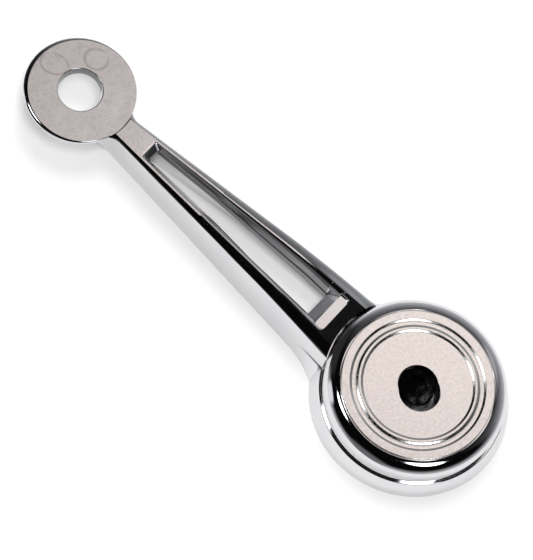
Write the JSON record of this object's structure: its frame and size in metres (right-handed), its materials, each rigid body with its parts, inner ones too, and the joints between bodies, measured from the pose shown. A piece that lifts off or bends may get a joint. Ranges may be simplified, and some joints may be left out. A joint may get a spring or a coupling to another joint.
{
  "type": "car window winder handle",
  "caption": "Chrome window crank handle: grooved round hub with a recessed screw, tapered slotted arm and a thin pierced knob seat.",
  "frame": {"origin": "on the hub axis, at the back face that lies against the door", "axes": "+Z out of the door along the hub axis, +X from the hub along the arm to the knob seat"},
  "size_m": [0.1465, 0.049, 0.0116],
  "materials": {
    "arm_chrome": "bright chrome plate on a zinc casting",
    "drum_chrome": "bright chrome plate",
    "disc_satin": "turned chrome with a slight satin",
    "bush_steel": "plain steel",
    "washer_steel": "plain spring steel",
    "screw_black": "black oxide"
  },
  "bodies": {
    "handle": {"handle_arm": "arm_chrome", "hub_drum": "drum_chrome", "face_disc": "disc_satin", "splined_bush": "bush_steel", "lock_washer": "washer_steel"},
    "screw": {"retaining_screw": "screw_black"}
  },
  "joints": [
    {"name": "screw_turn", "type": "hinge", "parent": "handle", "child": "screw", "pos_m": [0, 0, 0.009], "axis": [0, 0, 1], "continuous": true}
  ]
}
